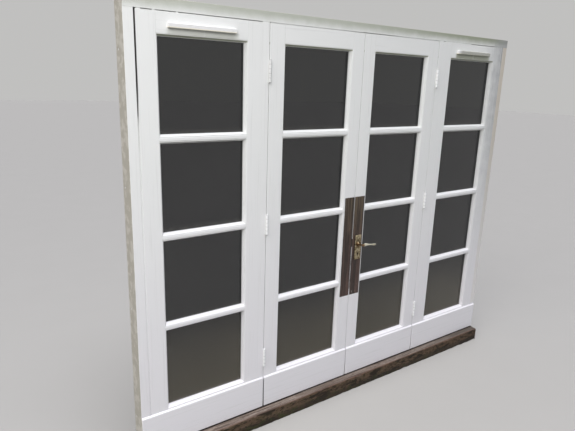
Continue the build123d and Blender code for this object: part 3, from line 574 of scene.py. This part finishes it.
def finished(bm, name, material, body, kind, crease=40, levels=0):
    """Turns a bmesh into a piece that rides on a body and takes the given finish."""
    for face in bm.faces:
        face.smooth = True
    mesh = bpy.data.meshes.new(name)
    bm.to_mesh(mesh)
    bm.free()
    mesh.set_sharp_from_angle(angle=math.radians(crease))
    mesh.materials.append(material)
    piece = bpy.data.objects.new(name, mesh)
    bpy.context.scene.collection.objects.link(piece)
    if levels:
        rounding = piece.modifiers.new("rounding", "SUBSURF")
        rounding.levels = rounding.render_levels = levels
    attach(piece, body)
    return piece


def body_of(node):
    return next(body for body, nodes in frame["record"]["behaviour"]["bodies"].items() if node in nodes)


def joined_copy(node):
    """A bmesh of a node, with its loose triangles joined and its flat faces made whole."""
    bm = bmesh.new()
    bm.from_mesh(frame["nodes"][node].data)
    bmesh.ops.remove_doubles(bm, verts=bm.verts, dist=0.01 * MM)
    bmesh.ops.dissolve_limit(bm, angle_limit=math.radians(0.5), verts=bm.verts, edges=bm.edges)
    return bm


def standing_for(node, bm, suffix, **options):
    """A piece that stands for a node, with the node's own finish and body."""
    material = frame["nodes"][node].material_slots[0].material
    piece = finished(bm, f"{node}_{suffix}", material, body_of(node), record_slot[node], **options)
    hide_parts(node)
    return piece


def cut_across(bm, axis, places):
    """Cuts every face along planes across one axis, so that its points can be moved."""
    normal = [0, 0, 0]
    normal[axis] = 1
    for place in places:
        point = [0, 0, 0]
        point[axis] = place * MM
        geom = bm.verts[:] + bm.edges[:] + bm.faces[:]
        bmesh.ops.bisect_plane(bm, geom=geom, plane_co=point, plane_no=normal)


def steps(low, high, size):
    """Evenly spaced places between two limits, which are left out."""
    count = max(2, round((high - low) / size))
    return [low + (high - low) * number / count for number in range(1, count)]


def rough(x, y, z, detail=2):
    """A smooth random value about 0, mostly between -0.5 and 0.5."""
    return noise.fractal(Vector((x, y, z)), 1.0, 2.0, detail) * 0.6


# The sill: its arris is rubbed and chipped, its top is ribbed by weather and its foot has rotted unevenly
bm = joined_copy("sill")
cut_across(bm, 0, steps(-frame_half, frame_half, 11))
cut_across(bm, 1, (-46, -42, -33, -25, -17, -9))
cut_across(bm, 2, (6, 14, 24, 36, 48, 60, 69, 74, 77))
for vert in bm.verts:
    x, y, z = vert.co / MM
    if y > -8.9 or abs(x) > frame_half - 0.5:
        continue
    to_arris = math.hypot(y - sill_nose, z - sill_nose_height)
    worn = max(0, 1 - to_arris / 11)
    bite = max(0, rough(x / 38, 3.1, 0.7, 3) - 0.05) * 14 + 1.2 + rough(x / 9, 8.3, 2.2)
    if z < sill_nose_height - 1:
        y += (0.9 + rough(x / 30, 4.4, z / 12, 3) * 1.6) * (1 if y < -44 else 0)
    else:
        z -= 0.25 + abs(rough(x / 160, y / 3.2, 5.5, 3)) * 1.3
    y += worn * bite * 0.6
    z -= worn * bite * 0.55
    if z < 5 and y < -30:
        z += max(0, rough(x / 45, 6.6, 1.5, 3)) * 13
    vert.co = Vector((x, y, z)) * MM
standing_for("sill", bm, "weathered", crease=50)

# The bare timber in the meeting stiles: planed by hand, a little lower than the paint round it
for node in ("left_patch", "right_patch"):
    bm = joined_copy(node)
    low, high = (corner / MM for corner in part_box(node))
    cut_across(bm, 0, steps(low.x, high.x, 3.2))
    cut_across(bm, 2, steps(low.z, high.z, 14))
    for vert in bm.verts:
        x, y, z = vert.co / MM
        if y > 0.1:
            continue
        gouge = abs(rough(x / 5.5, 0.4, z / 260, 2)) * 0.7
        chatter = 0.10 * math.sin(z / 9 + 3 * rough(x / 20, 1.9, z / 90))
        edge = min(x - low.x, high.x - x, z - low.z, high.z - z)
        vert.co.y = (0.35 + gouge + chatter * (edge > 2)) * MM
    standing_for(node, bm, "planed", crease=60)


# Sharp arrises are eased on the boards, beads, vents, hinges, bolts and lock
def eased(node, width, limit=35):
    piece = standing_for(node, joined_copy(node), "eased", crease=limit)
    easing = piece.modifiers.new("easing", "BEVEL")
    easing.width = width * MM
    easing.segments = 2
    easing.limit_method = "ANGLE"
    easing.angle_limit = math.radians(limit)
    return piece


for place in ("left", "right"):
    for node, width in (
        (f"{place}_kickboard", 3.0),
        (f"side_{place}_kickboard", 3.0),
        (f"{place}_beads", 0.5),
        (f"side_{place}_beads", 0.5),
        (f"{place}_hinge_flaps", 0.3),
        (f"vent_flap_{place}", 0.4),
    ):
        eased(node, width)
for node, width in (
    ("vent_canopies", 1.5),
    ("vent_bodies", 0.6),
    ("hinge_frame_flaps", 0.3),
    ("bolt_brackets", 0.5),
    ("bolt_keeps", 0.3),
    ("lock_case", 0.3),
    ("lock_keep", 0.3),
    ("latch_bolt", 0.5),
    ("deadbolt", 0.5),
):
    eased(node, width)


def turned(outline, segments=24):
    """A mesh that is turned about Z from (radius, height) points, closed at both ends."""
    bm = bmesh.new()
    line = [bm.verts.new((radius * MM, 0, height * MM)) for radius, height in outline]
    edges = [bm.edges.new(pair) for pair in zip(line, line[1:])]
    bmesh.ops.spin(
        bm, geom=line + edges, cent=(0, 0, 0), axis=(0, 0, 1), angle=math.tau, steps=segments, use_merge=True
    )
    bmesh.ops.remove_doubles(bm, verts=bm.verts, dist=0.001 * MM)
    bmesh.ops.recalc_face_normals(bm, faces=bm.faces)
    return bm


def pattern(bm, name):
    """A mesh that is kept to be stamped into others."""
    mesh = bpy.data.meshes.new(name)
    bm.to_mesh(mesh)
    bm.free()
    return mesh


def facing(place, direction, turn=0.0):
    """Where a mesh goes whose Z is to point along a direction."""
    aim = Vector(direction).to_track_quat("Z", "Y").to_matrix().to_4x4()
    return Matrix.Translation(Vector(place) * MM) @ aim @ Matrix.Rotation(turn, 4, "Z")


def stamp(bm, mesh, place):
    """Adds a copy of a mesh at a place."""
    copy = mesh.copy()
    copy.transform(place)
    bm.from_mesh(copy)
    bpy.data.meshes.remove(copy)


# Hinge pins: domed buttons at both ends
button_outline = ((0, -2.5), (2.2, -2.3), (3.9, -1.6), (4.6, -0.7), (4.6, 0), (3, 0), (3, 1), (0, 1))
button = pattern(turned(button_outline), "button")
shank = pattern(turned(((0, 1), (3, 1), (3, hinge_length - 1), (0, hinge_length - 1)), 16), "shank")
bm = bmesh.new()
for side in (-1, 1):
    for height in hinge_heights:
        foot = (side * hinge_axis, hinge_axis_y, height - hinge_length / 2)
        top = (side * hinge_axis, hinge_axis_y, height + hinge_length / 2)
        stamp(bm, shank, facing(foot, (0, 0, 1)))
        stamp(bm, button, facing(foot, (0, 0, 1)))
        stamp(bm, button, facing(top, (0, 0, -1)))
standing_for("hinge_pins", bm, "turned")


# Countersunk screws with a slot across each head
def slotted_screw(length):
    """A screw whose head lies at Z = 0 and whose shank runs up Z."""
    bm = turned(((3.8, 0), (1.9, 1.9), (1.9, length * 0.8), (0, length)))
    rim = [edge for edge in bm.edges if edge.is_boundary]
    bmesh.ops.contextual_create(bm, geom=rim)

    def top_faces():
        return [face for face in bm.faces if all(abs(vert.co.z) < 1e-7 for vert in face.verts)]

    for shift in (-0.55, 0.55):
        flat = top_faces()
        edges = [edge for face in flat for edge in face.edges]
        verts = [vert for face in flat for vert in face.verts]
        geom = list(set(flat + edges + verts))
        bmesh.ops.bisect_plane(bm, geom=geom, plane_co=(shift * MM, 0, 0), plane_no=(1, 0, 0))
    slot = min(top_faces(), key=lambda face: face.calc_center_median().length)
    sunk = bmesh.ops.extrude_discrete_faces(bm, faces=[slot])["faces"][0]
    for vert in sunk.verts:
        vert.co = (vert.co.x, vert.co.y * 0.68, 0.9 * MM)
    bmesh.ops.recalc_face_normals(bm, faces=bm.faces)
    return pattern(bm, "slotted_screw")


hinge_screw = slotted_screw(30)
plate_screw = slotted_screw(18)
draw = random.Random(7)


def hinge_screws(bm, side, toward):
    for height in hinge_heights:
        for number in range(screws_per_flap):
            up = height + hinge_length * ((number + 0.5) / screws_per_flap - 0.5)
            depth = flap_depth * (0.35 if number % 2 else 0.7)
            head = (side * (hinge_axis + toward * 0.5), depth, up)
            stamp(bm, hinge_screw, facing(head, (side * toward, 0, 0), draw.uniform(0, math.pi)))


bm = bmesh.new()
for side in (-1, 1):
    hinge_screws(bm, side, 1)
standing_for("frame_hinge_screws", bm, "slotted")
for side, place in ((-1, "left"), (1, "right")):
    bm = bmesh.new()
    hinge_screws(bm, side, -1)
    for up in forend_heights:
        head = (side * meeting_edge, leaf_thickness / 2, up)
        stamp(bm, plate_screw, facing(head, (side, 0, 0), draw.uniform(0, math.pi)))
    standing_for(f"{place}_screws", bm, "slotted")
plate_surfaces = ((-plate_thickness, -1, "outside"), (leaf_thickness + plate_thickness, 1, "inside"))
bm = bmesh.new()
for surface, out, place in plate_surfaces:
    for up in plate_screw_heights:
        head = (spindle_x, surface - out * 0.4, up)
        stamp(bm, plate_screw, facing(head, (0, -out, 0), draw.uniform(0, math.pi)))
finished(bm, "backplate_screws", plate_brass, "right_door", "brass")

# The backplates' raised border, and the collar that each hub turns in
collar_outline = (
    (11.5, -0.4),
    (11.5, 1.4),
    (12.2, 2.1),
    (13.4, 2.0),
    (14.4, 1.1),
    (15.0, -0.4),
    (11.5, -0.4),
)
collar = pattern(turned(collar_outline, 32), "collar")
border_inset = 2.6
across = plate_width / 2 - border_inset
upward = plate_height / 2 - border_inset
for surface, out, place in plate_surfaces:
    bm = bmesh.new()
    corners = ((-across, -upward), (across, -upward), (across, upward), (-across, upward))
    panel = bm.faces.new([bm.verts.new((x * MM, z * MM, 0)) for x, z in corners])
    bmesh.ops.bevel(
        bm, geom=panel.verts[:], offset=4 * MM, affect="VERTICES", segments=4, profile=0.5, material=-1
    )
    panel = bm.faces[:][0]
    bm.normal_update()
    strip = bmesh.ops.inset_region(bm, faces=[panel], thickness=2.4 * MM, use_boundary=True)["faces"]
    bmesh.ops.delete(bm, geom=[face for face in bm.faces if face not in strip], context="FACES_ONLY")
    raised = bmesh.ops.extrude_face_region(bm, geom=strip)["geom"]
    lifted = [part for part in raised if isinstance(part, bmesh.types.BMVert)]
    bmesh.ops.translate(bm, vec=(0, 0, 0.9 * MM), verts=lifted)
    bmesh.ops.recalc_face_normals(bm, faces=bm.faces)
    rims = [edge for edge in bm.edges if min(vert.co.z for vert in edge.verts) > 0.5 * MM]
    rims = [edge for edge in rims if edge.calc_face_angle(0) > 1]
    bmesh.ops.bevel(bm, geom=rims, offset=0.7 * MM, affect="EDGES", segments=2, profile=0.5, material=-1)
    middle = (spindle_x, surface, plate_low + plate_height / 2)
    bmesh.ops.transform(bm, matrix=facing(middle, (0, out, 0)), verts=bm.verts)
    stamp(bm, collar, facing((spindle_x, surface, spindle_z), (0, out, 0)))
    finished(bm, f"backplate_border_{place}", plate_brass, "right_door", "brass", crease=50)


def ring_place(centre, ahead, side, up):
    """Where a unit circle goes to stand square to its path, with this half width and half height."""
    ahead = Vector(ahead).normalized()
    across = ahead.cross(Vector((0, 0, 1))).normalized()
    top = across.cross(ahead)
    turn = Matrix((across, top, ahead)).transposed().to_4x4()
    return Matrix.Translation(Vector(centre) * MM) @ turn @ Matrix.Diagonal((side * MM, up * MM, 1, 1))


def swept(bm, places, segments):
    """A round bar through a row of ring places, closed at both ends."""
    made = bmesh.ops.create_circle(bm, segments=segments, radius=1, matrix=places[0])
    ring = list({edge for vert in made["verts"] for edge in vert.link_edges})
    first = ring
    for near, far in zip(places, places[1:]):
        grown = bmesh.ops.extrude_edge_only(bm, edges=ring)["geom"]
        verts = [part for part in grown if isinstance(part, bmesh.types.BMVert)]
        ring = [part for part in grown if isinstance(part, bmesh.types.BMEdge) and part.is_boundary]
        bmesh.ops.transform(bm, matrix=far @ near.inverted(), verts=verts)
    bmesh.ops.contextual_create(bm, geom=first)
    bmesh.ops.contextual_create(bm, geom=ring)
    bmesh.ops.recalc_face_normals(bm, faces=bm.faces)


# The lever handles: a neck that turns into a leaf-shaped blade, a slim wave and a rounded knob.
# A row says how far along, how high and how far out its middle is, its half depth and height, and its way.
arm = (
    (0, 0, 10, 6.2, 6.2, (0, 1, 0)),
    (0, 0, 15, 6.1, 6.1, (0, 1, 0)),
    (0, 0, 30, 5.9, 5.9, (0, 1, 0)),
    (0.2, 0.1, 37.5, 5.9, 6.0, (0.12, 1, 0.04)),
    (1.6, 0.6, 43.4, 5.4, 6.8, (0.8, 1, 0.15)),
    (6, 1.8, 46.4, 4.9, 8.4, (1, 0.25, 0.25)),
    (12, 3.3, 46.8, 4.5, 9.6, (1, 0.04, 0.2)),
    (20, 4.1, 46.4, 4.3, 9.6, (1, 0, 0.03)),
    (29, 3.4, 46, 4.2, 7.8, (1, 0, -0.14)),
    (38, 1.9, 46, 3.9, 5.4, (1, 0, -0.2)),
    (49, 0.1, 46, 3.6, 4.2, (1, 0, -0.14)),
    (60, -1.4, 46, 3.5, 4.0, (1, 0, -0.14)),
    (71, -3.1, 46, 3.8, 4.7, (1, 0, -0.16)),
    (82, -4.8, 46, 4.4, 6.1, (1, 0, -0.12)),
    (91, -5.6, 46, 4.6, 6.5, (1, 0, -0.05)),
    (98, -5.9, 46, 4.0, 5.6, (1, 0, 0)),
    (101.3, -6.0, 46, 2.2, 3.2, (1, 0, 0)),
    (102, -6.0, 46, 0.8, 1.2, (1, 0, 0)),
)
hub_outline = (
    (0, 0.3),
    (10.9, 0.3),
    (10.9, 6.2),
    (10.3, 7.2),
    (10.6, 8.4),
    (9.8, 10.6),
    (7.6, 12.8),
    (5.0, 14.4),
    (0, 14.6),
)
for surface, out, place in ((0, -1, "outside"), (leaf_thickness, 1, "inside")):
    bm = bmesh.new()
    places = []
    for along, lift, stand, side, up, (ahead_x, ahead_out, ahead_z) in arm:
        centre = (spindle_x + along, surface + out * stand, spindle_z + lift)
        places.append(ring_place(centre, (ahead_x, out * ahead_out, ahead_z), side, up))
    swept(bm, places, 12)
    handle = finished(bm, f"lever_{place}_cast", lever_brass, "handle", "brass", crease=180, levels=2)
    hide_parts(f"lever_{place}")
    bm = turned(hub_outline, 32)
    bmesh.ops.transform(bm, matrix=facing((spindle_x, surface, spindle_z), (0, out, 0)), verts=bm.verts)
    finished(bm, f"lever_{place}_hub", plate_brass, "handle", "brass", crease=35)


def between(pairs, place):
    """The value at a place, read between pairs of a place and a value."""
    for (near, first), (far, second) in zip(pairs, pairs[1:]):
        if place <= far:
            return first + (second - first) * (place - near) / (far - near)
    return pairs[-1][1]


def block(low, high, axis, size):
    """A bar between two corners, cut into short lengths along one axis and in half across it."""
    bm = bmesh.new()
    low, high = Vector(low), Vector(high)
    place = Matrix.Translation((low + high) / 2 * MM) @ Matrix.Diagonal((*((high - low) * MM), 1))
    bmesh.ops.create_cube(bm, size=1, matrix=place)
    cut_across(bm, axis, steps(low[axis], high[axis], size))
    cut_across(bm, 2 - axis, ((low[2 - axis] + high[2 - axis]) / 2,))
    return bm


# Filler and old paint that have run into the gaps round the side lights: heights on the left and right jamb,
# or places along the head, each with how far the filler stands back there
jamb_fills = (
    (-1, ((leaf_low, 5.0), (240, 4.2), (900, 1.6), (1225, 2.6), (1450, 4.0), (1600, 6.5), (1660, 9.0))),
    (1, ((leaf_low, 0.3), (1800, 0.6), (1950, 3.0), (leaf_top - 2, 8.0))),
)
head_fills = (
    ((-1203, 0.6), (-1187, 0.4)),
    ((-1139, 0.5), (-1127, 0.8)),
    ((-1039, 0.6), (-1030, 0.6)),
    ((640, 0.3), (850, 0.8), (890, 3.0)),
    ((1127, 2.0), (1140, 0.6), (1209, 0.3)),
)
bm = bmesh.new()
for side, recess in jamb_fills:
    near, far = sorted(side * edge for edge in jamb_gap)
    strip = block((near, 0, recess[0][0]), (far, 10, recess[-1][0]), 2, 16)
    for vert in strip.verts:
        x, y, z = vert.co / MM
        if y < 5:
            hollow = 0.7 if near + 1 < x < far - 1 else 0
            vert.co.y = (between(recess, z) + hollow + rough(z / 40, side, x) * 0.4) * MM
    stamp(bm, pattern(strip, "fill"), Matrix())
for recess in head_fills:
    strip = block((recess[0][0], 0, leaf_top), (recess[-1][0], 8, leaf_top + 3), 0, 9)
    for vert in strip.verts:
        x, y, z = vert.co / MM
        if y < 4:
            hollow = 0.4 if leaf_top + 1 < z < leaf_top + 2 else 0
            vert.co.y = (between(recess, x) + hollow + abs(rough(x / 12, 1, z)) * 0.4) * MM
    stamp(bm, pattern(strip, "fill"), Matrix())
finished(bm, "gap_filler", level_paint, "frame", "painted_timber", crease=60)

# Thick paint under the head's edge, which narrows the gap over the doors: places along it and thicknesses
head_edges = (
    ((-584, 1.9), (-200, 1.5), (-20, 0.9)),
    ((190, 0.5), (260, 1.6), (520, 2.0), (545, 1.0), (584, 0.9)),
)
bm = bmesh.new()
for thickness in head_edges:
    strip = block((thickness[0][0], 0.15, leaf_top + 1), (thickness[-1][0], 3.2, leaf_top + 3), 0, 12)
    for vert in strip.verts:
        x, y, z = vert.co / MM
        if z < leaf_top + 2:
            back = 0.5 if y > 2 else 0
            vert.co.z = (leaf_top + 3 - between(thickness, x) + back - rough(x / 25, 2, y) * 0.2) * MM
    stamp(bm, pattern(strip, "edge"), Matrix())
finished(bm, "head_paint_edge", level_paint, "frame", "painted_timber", crease=60)


def plain_stage():
    """A pale floor and the light of a wide sky, with a broad lamp from the upper left."""
    bpy.ops.mesh.primitive_plane_add(size=80, location=(0, 0, -0.0005))
    floor = bpy.context.object
    floor.name = "floor"
    pale = Finish("pale_floor", {"Roughness": 0.9, "Specular IOR Level": 0.1})
    speckle = pale.noise(3)
    darker, lighter = floor_shown
    shown = pale.blend(speckle, colour(*darker), colour(*lighter))
    floor.data.materials.append(pale.wear(Base_Color=pale.blend(pale.seen(), colour(*floor_thrown), shown)))

    world = bpy.context.scene.world or bpy.data.worlds.new("sky")
    bpy.context.scene.world = world
    world.use_nodes = True
    sky = Nodes(world.node_tree)
    up = sky.node("SeparateXYZ", None, {"Vector": sky.node("TexCoord", output="Generated")}, "Z")
    strength = sky_all_round + sky_overhead * sky.rise(up, 0, 1)
    thrown = sky.node("Background", None, {"Color": colour(*sky_thrown), "Strength": strength})
    above = 1 + sky_shown_overhead * sky.rise(up, 0.15, 0.95)
    shown = sky.node("Background", None, {"Color": colour(*sky_shown), "Strength": above})
    mixed = sky.node("MixShader", None, {0: sky.seen(), 1: thrown, 2: shown})
    sky.feed(sky.tree.nodes["World Output"].inputs["Surface"], mixed)

    for name, kind, power, size, spot, aim, tint in lamps:
        lamp = bpy.data.lights.new(name, kind)
        lamp.energy = power
        lamp.color = tint
        if kind == "SUN":
            lamp.angle = math.radians(size)
        else:
            lamp.shape = "DISK"
            lamp.size = size
        item = bpy.data.objects.new(name, lamp)
        item.location = spot
        item.rotation_euler = (Vector(aim) - Vector(spot)).to_track_quat("-Z", "Y").to_euler()
        bpy.context.scene.collection.objects.link(item)


def photo_camera():
    """The photograph's own view of the doors."""
    lens = bpy.data.cameras.new("camera")
    lens.lens = camera_lens
    lens.sensor_width = 36
    camera = bpy.data.objects.new("camera", lens)
    yaw, pitch, roll = (math.radians(turn) for turn in camera_turns)
    camera.matrix_world = (
        Matrix.Translation(camera_place)
        @ Matrix.Rotation(-yaw, 4, "Z")
        @ Matrix.Rotation(math.pi / 2 + pitch, 4, "X")
        @ Matrix.Rotation(roll, 4, "Z")
    )
    bpy.context.scene.collection.objects.link(camera)
    bpy.context.scene.camera = camera


plain_stage()
photo_camera()
bpy.context.scene.view_settings.view_transform = "Standard"
